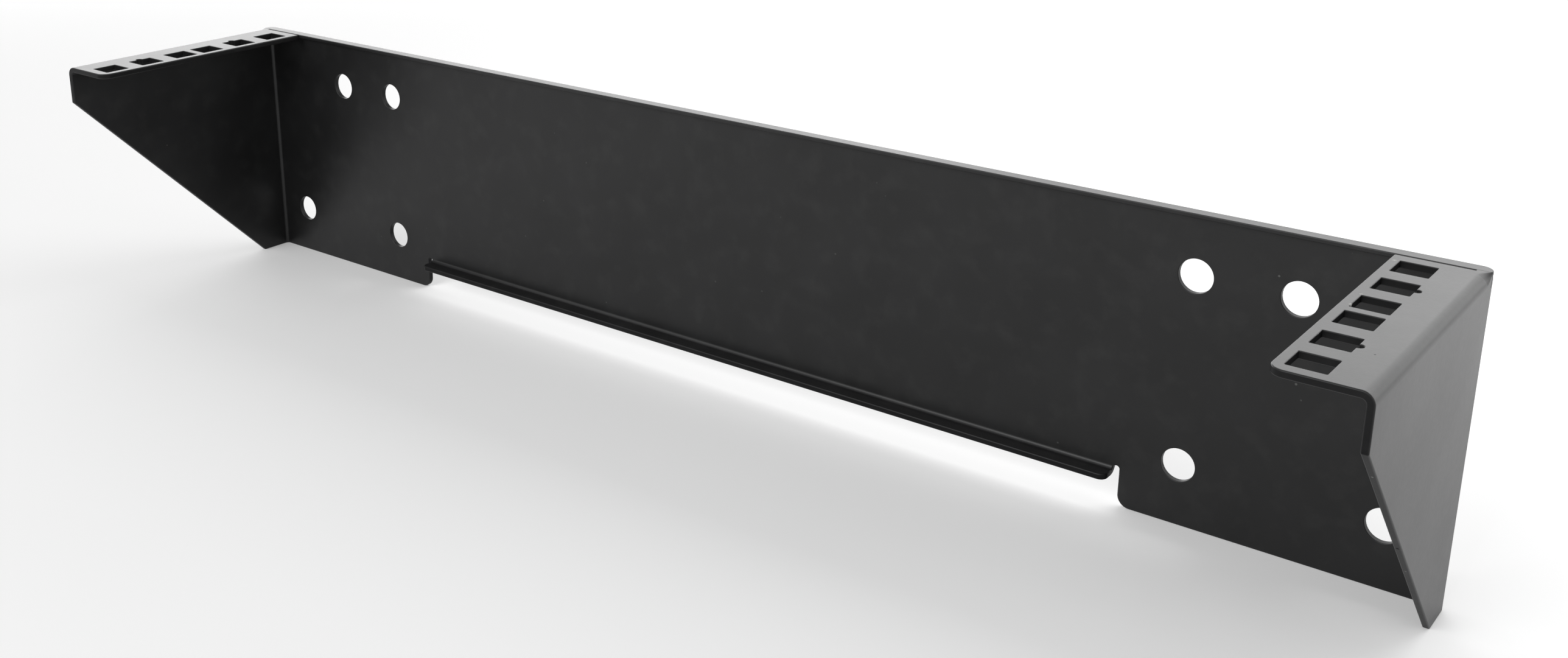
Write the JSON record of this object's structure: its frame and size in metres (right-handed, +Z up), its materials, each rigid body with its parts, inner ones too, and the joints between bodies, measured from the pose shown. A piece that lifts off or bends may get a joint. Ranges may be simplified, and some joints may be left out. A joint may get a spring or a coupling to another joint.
{
  "type": "vertical wall mount rack bracket",
  "caption": "Folded steel wall bracket with slanted side wings and inward flanges of square rack holes, holding rack equipment upright and close to a wall.",
  "frame": {"origin": "middle of the wall plate's rear face, half way between the two rows of screw holes", "axes": "+X along the wall plate to the right as seen from the room, +Y into the wall, +Z up"},
  "size_m": [0.498, 0.099, 0.099],
  "materials": {
    "black_powder_coat": "satin black powder coat with a fine grain"
  },
  "bodies": {
    "root": {"wall_bracket": "black_powder_coat"}
  },
  "joints": []
}
